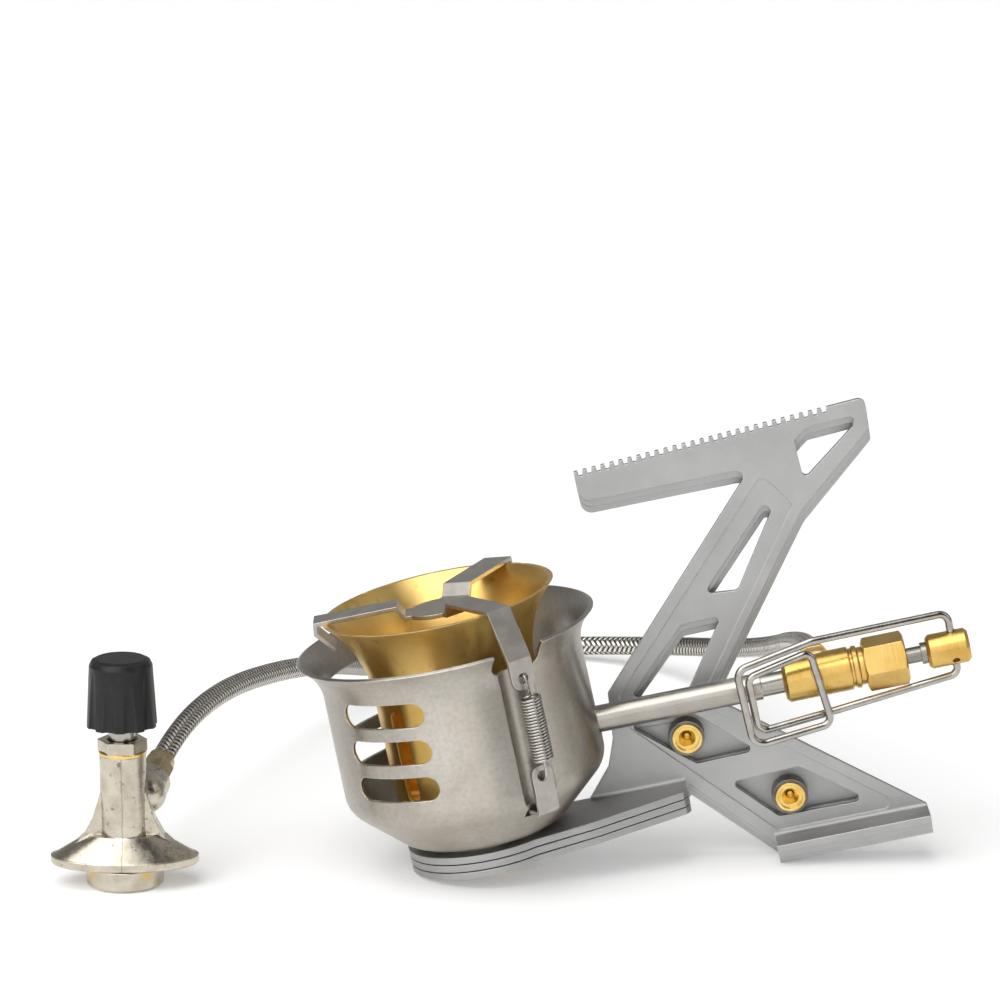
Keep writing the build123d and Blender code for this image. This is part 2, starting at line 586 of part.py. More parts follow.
# Wire bail: hooked into the knob's cross holes, folded back beside the tube, closed end in front of it.
hinge = (0, 0, knob_low + cross_along + knob_chamfer)
at_bail = at_block * Location(hinge, (-bail_angle, 0, 0))
print("hinge of the bail", at_bail.position)
with BuildPart() as bail:
    corners = [(-rise, bail_second if n in bail_behind else 0, -back)
               for n, (back, rise) in enumerate(bail_route)]
    with BuildLine() as frame_wire:
        FilletPolyline(*corners, radius=bail_bends)
    with BuildSketch(Plane(frame_wire.wire() @ 0, x_dir=(0, 1, 0), z_dir=frame_wire.wire() % 0)):
        Circle(wire_radius)
    sweep(path=frame_wire.wire())
keep(bail, "bail", at_bail)

# Hose fittings and hose.
port_end = at_block * port_face.offset(port_depth).location
port_way = (port_end * Location((0, 0, 1))).position - port_end.position
out_there = port_end.position + port_way * (nipple_length + ferrule_length)
with BuildPart() as hose_nipple:
    with BuildSketch(Plane.XY):
        RegularPolygon(nipple_flats / 2, 6, major_radius=False)
    extrude(amount=nipple_length)
    bore(Plane.XY, port_bore, nipple_length)
keep(hose_nipple, "hose_nipple", port_end)

with BuildPart() as hose_ferrule:
    with BuildSketch(Plane.XY.offset(nipple_length)):
        Circle(ferrule_radius)
    extrude(amount=ferrule_length)
    bore(Plane.XY.offset(nipple_length), port_bore, ferrule_length)
keep(hose_ferrule, "hose_ferrule", port_end)

valve = Location((valve_place[0] + frame_shift[0], valve_place[1] + frame_shift[1], 0))
heading = degrees(atan2(outlet_heading[1], outlet_heading[0]))
flat_share, lift_share = cos(radians(outlet_angle)), sin(radians(outlet_angle))
outlet = Plane((*boss_place, boss_level), x_dir=(-sin(radians(heading)), cos(radians(heading)), 0),
               z_dir=(cos(radians(heading)) * flat_share, sin(radians(heading)) * flat_share, lift_share))
with BuildPart() as valve_fitting:
    with BuildSketch(outlet.offset(boss_radius)):
        RegularPolygon(nipple_flats / 2, 6, major_radius=False)
    extrude(amount=outlet_length)
    bore(outlet.offset(boss_radius), port_bore, outlet_length)
keep(valve_fitting, "valve_fitting", valve)

with BuildPart() as valve_ferrule:
    with BuildSketch(outlet.offset(boss_radius + outlet_length)):
        Circle(ferrule_radius)
    extrude(amount=ferrule_length / 2)
    bore(outlet.offset(boss_radius + outlet_length), port_bore, ferrule_length)
keep(valve_ferrule, "valve_ferrule", valve)

hose_begin = boss_radius + outlet_length + ferrule_length / 2
hose_start = valve.position + outlet.origin + outlet.z_dir * hose_begin
way_points = [hose_start, hose_start + outlet.z_dir * first_run]
way_points += [Vector(x + frame_shift[0], y + frame_shift[1], z) for x, y, z in route]
way_points += [out_there + port_way * last_run, out_there]
bends = []
for before, here, after in zip(way_points, way_points[1:], way_points[2:]):
    turn = radians((here - before).get_angle(after - here))
    bends.append(run_share * min((here - before).length, (after - here).length) / tan(turn / 2))
with BuildPart() as hose:
    with BuildLine() as hose_path:
        FilletPolyline(*way_points, radius=bends)
    line = hose_path.wire()
    with BuildSketch(Plane(line @ 0, z_dir=line % 0)):
        Circle(hose_radius)
    sweep(path=line)
keep(hose, "hose", Location())
print("hose length", line.length, "volume", hose.part.volume, pi * hose_radius ** 2 * line.length)
print("hose radii", [round(b) for b in bends], "lowest", hose.part.bounding_box().min.Z)
print("hose points", [tuple(round(c, 2) for c in p) for p in way_points])

# Canister valve.
with BuildPart() as valve_body:
    with BuildSketch(Plane.XY.offset(collar_height)):
        Ellipse(base_reach, base_radius)
    extrude(amount=base_height / 2)
    fillet(valve_body.edges().group_by(Axis.Z)[0], base_edge)
    with BuildSketch(Plane.XY.offset(collar_height + base_height / 2)):
        Ellipse(base_reach - skirt_inset, base_radius - skirt_inset)
    with BuildSketch(Plane.XY.offset(skirt_top)):
        Ellipse(skirt_reach, skirt_radius)
    loft()
    turned([(body_radius, collar_height + base_height / 2), (body_radius, body_top)])
    for side in (1, -1):
        polygon([(side * x, z) for x, z in wing], Plane.XZ.offset(-wing_thick / 2), wing_thick)
    with Locations(outlet.origin):
        Sphere(boss_radius)
    with BuildSketch(outlet):
        Circle(boss_radius - slack)
    extrude(amount=boss_radius)
    bore(outlet, outlet_bore, boss_radius)
    bore(Plane.XY.offset(collar_height), stem_radius + fit, body_top)
    bore(Plane.XY.offset(collar_height), collar_bore - slack, base_height)
keep(valve_body, "valve_body", valve)

with BuildPart() as valve_collar:
    turned([(collar_radius - collar_edge, 0), (collar_radius, collar_edge), (collar_radius, collar_height)])
    bore(Plane.XY, collar_bore, collar_height)
keep(valve_collar, "valve_collar", valve)

with BuildPart() as valve_seal:
    with BuildSketch(Plane.XZ):
        with Locations((seal_ring, collar_height + base_height - seal_wire)):
            Circle(seal_wire)
    revolve(axis=Axis.Z)
keep(valve_seal, "valve_seal", valve)

with BuildPart() as pin_depressor:
    plug_low = collar_height + base_height
    turned([(pin_radius, pin_low), (pin_radius, plug_low), (stem_radius + fit, plug_low),
            (stem_radius + fit, plug_low + pin_plug)])
keep(pin_depressor, "pin_depressor", valve)

with BuildPart() as valve_ring:
    with BuildSketch(Plane.XY.offset(body_top)):
        Circle(ring_radius)
        Circle(stem_radius + fit, mode=Mode.SUBTRACT)
    extrude(amount=ring_height)
keep(valve_ring, "valve_ring", valve)

gland_low = body_top + ring_height
with BuildPart() as valve_gland:
    with BuildSketch(Plane.XY.offset(gland_low)):
        RegularPolygon(gland_flats / 2, 6, major_radius=False)
    extrude(amount=gland_height)
    bore(Plane.XY.offset(gland_low), stem_radius + fit, gland_height)
    bore(Plane.XY.offset(gland_low + gland_height - gland_sink), gland_mouth, gland_sink)
keep(valve_gland, "valve_gland", valve)

shoulder = gland_low + gland_height - gland_sink + stem_gap
with BuildPart() as valve_spindle:
    turned([(stem_radius - packing_height / 2, stem_low), (stem_radius, stem_low + packing_height),
            (stem_radius, shoulder), (stem_collar, shoulder), (stem_collar, cap_low), (stem_radius, cap_low),
            (stem_radius, stem_high)])
keep(valve_spindle, "valve_spindle", valve)

with BuildPart() as valve_knob:
    turned([(cap_radius, cap_low), (cap_radius - cap_draft, cap_high - cap_round),
            (cap_radius - cap_draft - cap_round / 3, cap_high - cap_round / 3),
            (cap_radius - cap_draft - cap_round, cap_high)])
    with BuildSketch(Plane.XY.offset(cap_low)):
        with PolarLocations(lobe_out, cap_lobes):
            Circle(lobe_radius)
    extrude(amount=cap_high - cap_low - cap_round / 2, mode=Mode.SUBTRACT)
    bore(Plane.XY.offset(cap_low), stem_radius, stem_high - cap_low)
keep(valve_knob, "valve_knob", valve)

whole = Compound(children=list(made.values()))
print("box", whole.bounding_box())
cords = ("hose", "hose_ferrule", "valve_ferrule")
print("box without cords", Compound(children=[p for n, p in made.items() if n not in cords]).bounding_box())
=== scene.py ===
# %% [markdown]
# # A folded backpacking stove with its canister valve
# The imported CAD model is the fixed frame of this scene: every piece already stands where it belongs,
# in metres. The lesson sets up the camera and the light first, then gives one piece after another the
# finish that its real metal shows. At the end it makes the two pieces that are wound or woven from
# wire, the tension spring and the braided hose, because the CAD model has them in a simpler form.

# %% Load the frame
import json
import math
from bisect import bisect_right

import bpy
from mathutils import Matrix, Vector


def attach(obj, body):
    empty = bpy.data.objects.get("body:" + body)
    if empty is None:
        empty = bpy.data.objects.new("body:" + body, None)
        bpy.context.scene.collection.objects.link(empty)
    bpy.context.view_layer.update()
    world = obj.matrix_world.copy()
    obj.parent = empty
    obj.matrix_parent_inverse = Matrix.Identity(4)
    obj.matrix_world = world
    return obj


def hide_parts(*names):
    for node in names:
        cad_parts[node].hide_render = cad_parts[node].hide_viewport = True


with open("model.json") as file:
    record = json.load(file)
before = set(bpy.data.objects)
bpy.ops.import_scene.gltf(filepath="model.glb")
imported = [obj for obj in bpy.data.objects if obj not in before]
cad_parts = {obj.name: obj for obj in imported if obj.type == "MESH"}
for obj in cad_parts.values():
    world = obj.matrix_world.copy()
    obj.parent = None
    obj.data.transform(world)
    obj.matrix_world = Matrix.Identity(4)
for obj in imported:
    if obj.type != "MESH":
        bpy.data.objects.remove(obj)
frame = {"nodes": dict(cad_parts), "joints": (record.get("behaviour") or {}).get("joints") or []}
node = frame["nodes"]
joint = {row["name"]: row for row in frame["joints"]}
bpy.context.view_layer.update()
scene = bpy.context.scene
scene.view_settings.view_transform = "Standard"

# %% [markdown]
# ## Camera
# The photograph looks down on the stove by about fifteen degrees, through a long lens, and the stove
# stands low in a square picture. Turning the camera up until the stove sits low would change how the
# stove is seen. Aiming the camera at the middle of the stove and shifting the lens doesn't.

# %% Camera
camera_place = (-0.00664, -0.9537, 0.2995)
look_down, look_right = math.radians(14.61), math.radians(0.25)


def stand(name, data):
    """A new object in the scene."""
    made = bpy.data.objects.new(name, data)
    scene.collection.objects.link(made)
    return made


camera = stand("camera", bpy.data.cameras.new("camera"))
camera.location = camera_place
camera.rotation_euler = (math.pi / 2 - look_down, 0, -look_right)
camera.data.sensor_width = 36
camera.data.lens = 162
camera.data.shift_y = 0.145
camera.data.clip_start = 0.01
scene.camera = camera
print("camera at", camera_place, "lens", camera.data.lens)

# %% [markdown]
# ## Sky
# The stove was photographed in a studio, and bright metal shows its surroundings more than its own
# colour. Walls could be built round the stove, but a sky whose glow depends on the direction does the
# same with fewer objects. It is bright towards the camera, with one dark wall to the right of it, which
# draws the dark stripe down the cup.

# %% Nodes in few words
def fill(tree, made, into):
    """Puts values or links into a node's sockets."""
    for socket, value in into.items():
        if isinstance(value, bpy.types.NodeSocket):
            tree.links.new(value, made.inputs[socket])
        else:
            made.inputs[socket].default_value = value


def add(tree, kind, into=None, **settings):
    """A new node of that kind, with its settings and filled sockets."""
    made = tree.nodes.new(kind)
    for name, value in settings.items():
        setattr(made, name, value)
    fill(tree, made, into or {})
    return made


def calc(tree, operation, *values):
    """One step of arithmetic on numbers."""
    return add(tree, "ShaderNodeMath", dict(enumerate(values)), operation=operation).outputs[0]


def arrow(tree, operation, *values):
    """One step of arithmetic on vectors. Lengths, distances and dot products come out as numbers."""
    made = add(tree, "ShaderNodeVectorMath", dict(enumerate(values)), operation=operation)
    return made.outputs["Value" if operation in ("LENGTH", "DISTANCE", "DOT_PRODUCT") else "Vector"]


def split(tree, vector):
    """The X, Y and Z of a vector."""
    return add(tree, "ShaderNodeSeparateXYZ", {0: vector}).outputs


def bearing(tree, x, y):
    """The angle of a direction about the upright, measured from the front."""
    return calc(tree, "ARCTAN2", x, calc(tree, "MULTIPLY", y, -1.0))


# %% Values carried from one range to another
def spread(tree, value, low, high, to_low=0.0, to_high=1.0):
    """A value carried in a straight line from one range to another, and held at the ends."""
    ends = {"From Min": low, "From Max": high, "To Min": to_low, "To Max": to_high}
    return add(tree, "ShaderNodeMapRange", {"Value": value, **ends}).outputs["Result"]


def ramp(tree, factor, stops):
    """Colours or greys placed along a factor."""
    made = add(tree, "ShaderNodeValToRGB", {"Fac": factor})
    marks = made.color_ramp.elements
    while len(marks) < len(stops):
        marks.new(0.5)
    for mark, (place, colour) in zip(marks, stops):
        mark.position = place
        mark.color = (*colour, 1) if isinstance(colour, tuple) else (colour, colour, colour, 1)
    return made.outputs["Color"]


# %% Sky
# Glow along a whole turn, from behind the stove by way of its left, the camera at 0.5 and its right
turn_glow = [(0.0, 0.36), (0.19, 0.14), (0.33, 0.36), (0.41, 1.25), (0.46, 1.60), (0.52, 1.45),
             (0.56, 0.04), (0.66, 0.04), (0.76, 0.44), (1.0, 0.36)]
# Share of that glow from straight down at 0.0, by way of the horizon at 0.5, to straight up
height_glow = [(0.49, 0.72), (0.60, 1.0), (0.75, 0.92), (1.0, 0.75)]

world = bpy.data.worlds.new("studio")
world.use_nodes = True
sky = world.node_tree
towards = split(sky, add(sky, "ShaderNodeTexCoord").outputs["Generated"])
turn_share = spread(sky, bearing(sky, towards["X"], towards["Y"]), -math.pi, math.pi)
height_share = spread(sky, towards["Z"], -1, 1)
glow = arrow(sky, "MULTIPLY", ramp(sky, turn_share, turn_glow), ramp(sky, height_share, height_glow))
fill(sky, sky.nodes["Background"], {"Color": glow})
scene.world = world
print("sky with", len(sky.nodes), "nodes")

# %% [markdown]
# ## Floor
# The picture's ground is pure white with soft shadows. A brighter lamp would bleach the shadows too, so
# the paper gets a faint glow of its own instead. Only rays that go straight to the eye, or by way of a
# mirror or glass, see that glow, so reflections match the ground and the shadows keep their depth.

# %% Floor
floor_reach = 9
paper_tones = [(0.3, 0.90), (0.7, 0.93)]
paper_glow = 0.22


def blank(name):
    """A new material, its node tree and the node of its surface."""
    made = bpy.data.materials.new(name)
    made.use_nodes = True
    return made, made.node_tree, made.node_tree.nodes["Principled BSDF"]


paper, sheet, face = blank("white_paper")
ray = add(sheet, "ShaderNodeLightPath").outputs
mirrored = calc(sheet, "MAXIMUM", ray["Is Camera Ray"], ray["Is Glossy Ray"])
seen = calc(sheet, "MAXIMUM", mirrored, ray["Is Transmission Ray"])
fibres = add(sheet, "ShaderNodeTexNoise", {"Scale": 3.0}).outputs["Fac"]
fill(sheet, face, {"Base Color": ramp(sheet, fibres, paper_tones), "Roughness": 0.9,
                   "Specular IOR Level": 0.1, "Emission Color": (1, 1, 1, 1),
                   "Emission Strength": calc(sheet, "MULTIPLY", seen, paper_glow)})
floor_mesh = bpy.data.meshes.new("floor")
corners = [(x * floor_reach, y * floor_reach, 0) for x, y in ((-1, -1), (1, -1), (1, 1), (-1, 1))]
floor_mesh.from_pydata(corners, [], [(0, 1, 2, 3)])
floor_mesh.materials.append(paper)
floor = stand("floor", floor_mesh)
print("floor", 2 * floor_reach, "m wide")

# %% [markdown]
# ## Lamps
# Two panels stand left and right of the camera and give the metal its soft highlights. A very wide sun
# stands for the light of the whole studio and lays the shadow to the right and back. A sun lights the
# wide floor evenly, which a panel can't.

# %% Lamps
aim = Vector((0, 0.02, 0.05))
key_place, side_place = Vector((-1.1, -0.75, 0.85)), Vector((1.25, -0.45, 0.7))
studio_light = (0.34, 0.30, -1.0)


def shine(name, kind, place, direction, **settings):
    """A lamp at a place, shining in a direction."""
    lamp = bpy.data.lights.new(name, kind)
    for setting, value in settings.items():
        setattr(lamp, setting, value)
    held = stand(name, lamp)
    held.location = place
    held.rotation_euler = Vector(direction).to_track_quat("-Z", "Y").to_euler()


shine("key", "AREA", key_place, aim - key_place, shape="RECTANGLE", size=0.9, size_y=0.9, energy=4.0)
shine("side", "AREA", side_place, aim - side_place, shape="RECTANGLE", size=0.6, size_y=0.9, energy=1.8)
shine("overcast", "SUN", (0, 0, 0), studio_light, energy=1.6, angle=math.radians(60))
print("lamps", [lamp.name for lamp in bpy.data.lights])

# %% [markdown]
# ## One recipe for all the metal
# Real metal is never one flat colour: it has faint stains, a grain left by the tool, small marks, and
# edges that are rounded and rubbed brighter. Painted pictures could show all that, but noise worked out
# from the place of each point needs no unfolding and stays sharp. Only the numbers, and the way the
# grain runs, differ from piece to piece, so each finish is one call of the same function.

# %% Places the grain is measured from
hub = joint["middle_leg_turn"]["pos_m"]
burner_axis = joint["middle_leg_turn"]["axis"]
lean = math.atan2(-burner_axis[0], burner_axis[2])
print("the burner leans", round(math.degrees(lean), 2), "degrees from", hub)


def plain_place(tree):
    """Coordinates of the frame."""
    return add(tree, "ShaderNodeTexCoord").outputs["Object"]


def stove_place(tree):
    """Coordinates that lean with the burner: x along the feed tube, z up the burner."""
    ways = {"Vector": plain_place(tree), "Location": hub, "Rotation": (0, -lean, 0)}
    return add(tree, "ShaderNodeMapping", ways, vector_type="TEXTURE").outputs["Vector"]


def ring_place(tree):
    """Coordinates round the burner: the angle from the front, the height and the radius."""
    place = stove_place(tree)
    part = split(tree, place)
    radius = arrow(tree, "LENGTH", arrow(tree, "MULTIPLY", place, (1, 1, 0)))
    ways = {0: bearing(tree, part["X"], part["Y"]), 1: part["Z"], 2: radius}
    return add(tree, "ShaderNodeCombineXYZ", ways).outputs[0]


# %% Patterns and marks
def pattern(place, scale=1.0, stretch=(1, 1, 1), detail=3.0, rough=0.55):
    """A noise for any tree. place: its coordinates; scale, stretch: its waves, all ways alike or each way."""
    def drawn(tree):
        waves = arrow(tree, "MULTIPLY", place(tree), stretch)
        shape = {"Vector": waves, "Scale": scale, "Detail": detail, "Roughness": rough}
        return add(tree, "ShaderNodeTexNoise", shape).outputs["Fac"]
    return drawn


def peaks(source, low, high, strength):
    """Marks where a pattern runs high: none up to low, and of full strength from high."""
    return lambda tree: ramp(tree, source(tree), [(low, 0.0), (high, strength)])


def strongest(*sources):
    """Several kinds of marks laid over each other."""
    def drawn(tree):
        most = sources[0](tree)
        for source in sources[1:]:
            most = calc(tree, "MAXIMUM", most, source(tree))
        return most
    return drawn


# %% Parts of the recipe
flat_cosine, edge_cosine = 0.97, 0.72  # between the rounded normal and the real one


def rubbed_edge(tree, radius):
    """A rounded normal for sharp edges, and a mask that is white on them."""
    soft = add(tree, "ShaderNodeBevel", {"Radius": radius}, samples=6).outputs[0]
    real = add(tree, "ShaderNodeNewGeometry").outputs["Normal"]
    cosine = arrow(tree, "DOT_PRODUCT", soft, real)
    return soft, ramp(tree, cosine, [(edge_cosine, 1.0), (flat_cosine, 0.0)])


def tint(tree, share, under, over):
    """A colour laid over another one, by a share."""
    first, second, result = 6, 7, 2  # the colour sockets of a Mix node
    made = add(tree, "ShaderNodeMix", {"Factor": share, first: under, second: (*over, 1)}, data_type="RGBA")
    return made.outputs[result]


# %% The recipe
noise_low, noise_high = 0.34, 0.66  # most of a noise lies between these
both_low, both_high = 0.6, 1.4  # and most of two noises added between these
grain_depth = 0.0002


def dress(name, shades, rough, grain, stains, edge_colour, bump, edge=0.00025, marks=None, mark_colour=None,
          metallic=1.0):
    """A finish. shades, rough: from and to; edge: width in metres; grain, stains, marks: patterns."""
    made, tree, skin = blank(name)
    fine, cloud = grain(tree), stains(tree)
    soft, worn = rubbed_edge(tree, edge)
    stained = ramp(tree, cloud, [(noise_low, shades[0]), (noise_high, shades[1])])
    colour = tint(tree, worn, stained, edge_colour)
    if marks:
        colour = tint(tree, marks(tree), colour, mark_colour)
    dull = spread(tree, calc(tree, "ADD", fine, cloud), both_low, both_high, *rough)
    heights = {"Height": fine, "Normal": soft, "Strength": bump, "Distance": grain_depth}
    relief = add(tree, "ShaderNodeBump", heights).outputs[0]
    fill(tree, skin, {"Metallic": metallic, "Base Color": colour, "Roughness": dull, "Normal": relief})
    return made


def put(material, *names):
    """Gives CAD nodes that finish alone."""
    for name in names:
        node[name].data.materials.clear()
        node[name].data.materials.append(material)
    print(material.name, "on", ", ".join(names))


# %% [markdown]
# ## Legs
# The legs are pressed from grey sheet and blasted matt, so they show almost no reflections, only a
# fine even grain, faint scuffs of handling and paler rubbed edges. Noise at two sizes makes the grain
# and the stains. The grain has no direction, because blasting has none.

# %% Leg finish
blasted = pattern(plain_place, scale=3400, detail=2.0)
handling = pattern(plain_place, scale=60, detail=6.0, rough=0.65)
scuffs = peaks(pattern(plain_place, stretch=(70, 400, 900), detail=4.0), low=0.66, high=0.76, strength=0.35)
leg_grey = dress(
    "blasted_leg_sheet", shades=((0.42, 0.42, 0.418), (0.50, 0.498, 0.495)), rough=(0.44, 0.58),
    grain=blasted, stains=handling, edge_colour=(0.80, 0.80, 0.79), edge=0.00035, bump=0.20,
    marks=scuffs, mark_colour=(0.36, 0.36, 0.355))
put(leg_grey, "leg_fixed", "leg_middle", "leg_rear")

# %% [markdown]
# ## Wind cup and hub
# The cup is spun from stainless sheet and brushed round its axis, so its grain runs in rings and its
# highlights are drawn out across them, up and down the cup. Fine bump alone would need more detail than
# the picture can show. Anisotropy, with a tangent that runs round the burner, does it at any distance.

# %% Brushing round the burner
across_the_rings = 0.25  # a quarter turn from the tangent


def brush_round(material, amount):
    """Draws out the highlights across rings about the burner's axis."""
    tree = material.node_tree
    normal = add(tree, "ShaderNodeNewGeometry").outputs["Normal"]
    fill(tree, tree.nodes["Principled BSDF"],
         {"Anisotropic": amount, "Anisotropic Rotation": across_the_rings,
          "Tangent": arrow(tree, "CROSS_PRODUCT", burner_axis, normal)})
    print(material.name, "brushed by", amount)


# %% Cup finish
rings = pattern(ring_place, stretch=(3.2, 2200, 2200))
cup_stains = pattern(ring_place, stretch=(1.8, 45, 45), detail=5.0, rough=0.6)
mottle = peaks(pattern(ring_place, stretch=(26, 900, 900), detail=4.0), low=0.42, high=0.72, strength=0.42)
cup_specks = peaks(pattern(plain_place, scale=420), low=0.70, high=0.78, strength=0.6)
cup_steel = dress(
    "spun_cup_steel", shades=((0.44, 0.405, 0.35), (0.57, 0.54, 0.49)), rough=(0.34, 0.44),
    grain=rings, stains=cup_stains, edge_colour=(0.90, 0.87, 0.80), edge=0.0004, bump=0.12,
    marks=strongest(mottle, cup_specks), mark_colour=(0.36, 0.32, 0.265))
brush_round(cup_steel, amount=0.92)
put(cup_steel, "wind_cup", "base_disc", "hub_washer", "hub_sleeve")

# %% [markdown]
# ## Brass
# The bell is spun and brushed like the cup, with cloudy tan tarnish. The block and the nuts along the
# tube are turned on a lathe and keep fine tool rings about the tube, so their grain is measured along it.
# The small jets are too small to show rings, and an even grain is enough for them.

# %% Bell finish
bell_clouds = pattern(ring_place, stretch=(2.2, 70, 70), detail=5.0, rough=0.62)
tarnish = peaks(pattern(plain_place, scale=240), low=0.60, high=0.72, strength=0.55)
bell_brass = dress(
    "spun_bell_brass", shades=((0.90, 0.585, 0.155), (0.98, 0.70, 0.26)), rough=(0.36, 0.46),
    grain=rings, stains=bell_clouds, edge_colour=(0.96, 0.76, 0.36), edge=0.0003, bump=0.05,
    marks=tarnish, mark_colour=(0.56, 0.35, 0.09))
brush_round(bell_brass, amount=0.8)
put(bell_brass, "burner_bell", "burner_stem", "main_jet")

# %% Turned brass
tool_rings = pattern(stove_place, stretch=(2000, 90, 90), detail=2.0)
tube_stains = pattern(stove_place, stretch=(90, 130, 130), detail=4.0)
block_specks = peaks(pattern(plain_place, scale=700), low=0.68, high=0.76, strength=0.6)
block_brass = dress(
    "turned_block_brass", shades=((0.60, 0.372, 0.088), (0.75, 0.505, 0.165)), rough=(0.22, 0.38),
    grain=tool_rings, stains=tube_stains, edge_colour=(1.0, 0.88, 0.52), edge=0.0003, bump=0.24,
    marks=block_specks, mark_colour=(0.46, 0.28, 0.06))
put(block_brass, "control_block", "gland_nut", "end_knob", "hose_nipple", "hose_ferrule")

# %% Small brass pieces
small_stains = pattern(plain_place, scale=260, detail=5.0)
small_grain = pattern(plain_place, scale=2400)
jet_brass = dress(
    "jet_brass", shades=((0.72, 0.47, 0.12), (0.93, 0.68, 0.24)), rough=(0.14, 0.30),
    grain=small_grain, stains=small_stains, edge_colour=(1.0, 0.84, 0.44), edge=0.0002, bump=0.10)
put(jet_brass, "spare_jet_a", "spare_jet_b", "hub_bolt", "valve_ring")

dull_brass = dress(
    "dull_fitting_brass", shades=((0.40, 0.30, 0.16), (0.60, 0.49, 0.30)), rough=(0.20, 0.36),
    grain=small_grain, stains=small_stains, edge_colour=(0.80, 0.68, 0.44), edge=0.0002, bump=0.10)
put(dull_brass, "valve_fitting", "valve_ferrule")

# %% [markdown]
# ## Steel tube, wire and clip
# The feed tube is drawn through a die, which leaves fine lines along it, so its noise is drawn out along
# the tube. The control spindle is turned and darker. Wire, clip and jet sockets are too small for lines
# to show, and share the even grain of the small brass pieces.

# %% Tube and spindle
drawn_lines = pattern(stove_place, stretch=(60, 2400, 2400))
tube_specks = peaks(pattern(plain_place, scale=520), low=0.69, high=0.77, strength=0.4)
tube_steel = dress(
    "drawn_tube_steel", shades=((0.35, 0.325, 0.285), (0.43, 0.405, 0.365)), rough=(0.20, 0.32),
    grain=drawn_lines, stains=tube_stains, edge_colour=(0.86, 0.83, 0.77), bump=0.06,
    marks=tube_specks, mark_colour=(0.34, 0.30, 0.24))
put(tube_steel, "feed_tube")

dark_steel = dress(
    "dark_spindle_steel", shades=((0.26, 0.24, 0.215), (0.42, 0.395, 0.36)), rough=(0.18, 0.32),
    grain=tool_rings, stains=tube_stains, edge_colour=(0.62, 0.59, 0.54), bump=0.12)
put(dark_steel, "control_spindle")

# %% Wire, clip and sockets
wire_steel = dress(
    "spring_wire", shades=((0.38, 0.36, 0.325), (0.52, 0.495, 0.46)), rough=(0.14, 0.26),
    grain=small_grain, stains=small_stains, edge_colour=(0.80, 0.78, 0.73), edge=0.0001, bump=0.06)
put(wire_steel, "bail", "clip_spring", "valve_spindle", "pin_depressor")

clip_steel = dress(
    "clip_strip", shades=((0.45, 0.42, 0.38), (0.56, 0.53, 0.485)), rough=(0.28, 0.44),
    grain=small_grain, stains=small_stains, edge_colour=(0.78, 0.75, 0.70), edge=0.00022, bump=0.10)
put(clip_steel, "clip", "spring_anchor")

socket_steel = dress(
    "dark_socket_steel", shades=((0.13, 0.12, 0.10), (0.28, 0.26, 0.23)), rough=(0.28, 0.5),
    grain=small_grain, stains=small_stains, edge_colour=(0.5, 0.47, 0.42), edge=0.0002, bump=0.25)
put(socket_steel, "jet_socket_a", "jet_socket_b")

# %% [markdown]
# ## Canister valve
# The valve is a nickel-plated casting: shiny and slightly warm, with pits and a parting line down the front.
# Its hollows get painted shade. Each mark is a mask of its own. The line is found by its distance from the
# casting's middle plane, and the painted shade in the hollows by ambient occlusion.

# %% Casting
valve_middle = joint["valve_knob_turn"]["pos_m"][0]
line_width, line_wander, line_strength = 0.00022, 0.0003, 0.55
# Reach and strength of the painted shade in the valve's hollows
hollow_reach, hollow_shade_strength = 0.003, 0.85
hollow_shade_full, hollow_shade_none = 0.85, 1.15  # of the openness of a hollow with a noise added
pits = peaks(pattern(plain_place, scale=640), low=0.62, high=0.70, strength=0.8)
cast_grain = pattern(plain_place, scale=900, detail=4.0)
plate_edge = (0.92, 0.88, 0.80)


def parting_line(tree):
    """A dark line in the casting's middle plane that wanders a little."""
    off = calc(tree, "SUBTRACT", split(tree, plain_place(tree))["X"], valve_middle)
    wander = spread(tree, pattern(plain_place, scale=300)(tree), 0, 1, -line_wander, line_wander)
    away = calc(tree, "ABSOLUTE", calc(tree, "ADD", off, wander))
    return spread(tree, away, 0.0, line_width, line_strength, 0.0)


def painted_hollow_shade(tree):
    """Painted shade in the hollows, from ambient occlusion, broken up by a noise."""
    hollow = add(tree, "ShaderNodeAmbientOcclusion", {"Distance": hollow_reach}, samples=6, only_local=True)
    shaded = calc(tree, "ADD", hollow.outputs["AO"], pattern(plain_place, scale=420, detail=4.0)(tree))
    return spread(tree, shaded, hollow_shade_full, hollow_shade_none, hollow_shade_strength, 0.0)


# The mark colour darkens the real pits and parting line, and paints shade into the hollows
nickel = dress(
    "plated_casting", shades=((0.49, 0.438, 0.35), (0.67, 0.615, 0.515)), rough=(0.19, 0.33),
    grain=cast_grain, stains=small_stains, edge_colour=plate_edge, edge=0.0004, bump=0.10,
    marks=strongest(parting_line, pits, painted_hollow_shade), mark_colour=(0.17, 0.14, 0.10))
put(nickel, "valve_body")

# %% [markdown]
# ## Worn collar
# The collar screws into the canister, and its plating is rubbed through to brass in two spots. Each spot
# is a distance from a point on the collar, and a noise added to the distance makes its border ragged.

# %% Collar
worn_places, worn_height = (-0.0069, 0.0053), 0.0036
worn_inside, worn_outside, raggedness, worn_strength = 0.0036, 0.0047, 0.0062, 0.85


def worn_through(side):
    """A spot beside the valve's middle where the plating has gone."""
    def drawn(tree):
        seen_from_front = arrow(tree, "MULTIPLY", plain_place(tree), (1, 0, 1))
        away = arrow(tree, "DISTANCE", seen_from_front, (valve_middle + side, 0, worn_height))
        flakes = pattern(plain_place, scale=620, detail=6.0, rough=0.7)(tree)
        ragged = calc(tree, "MULTIPLY_ADD", flakes, raggedness, away)
        return spread(tree, ragged, worn_inside, worn_outside, worn_strength, 0.0)
    return drawn


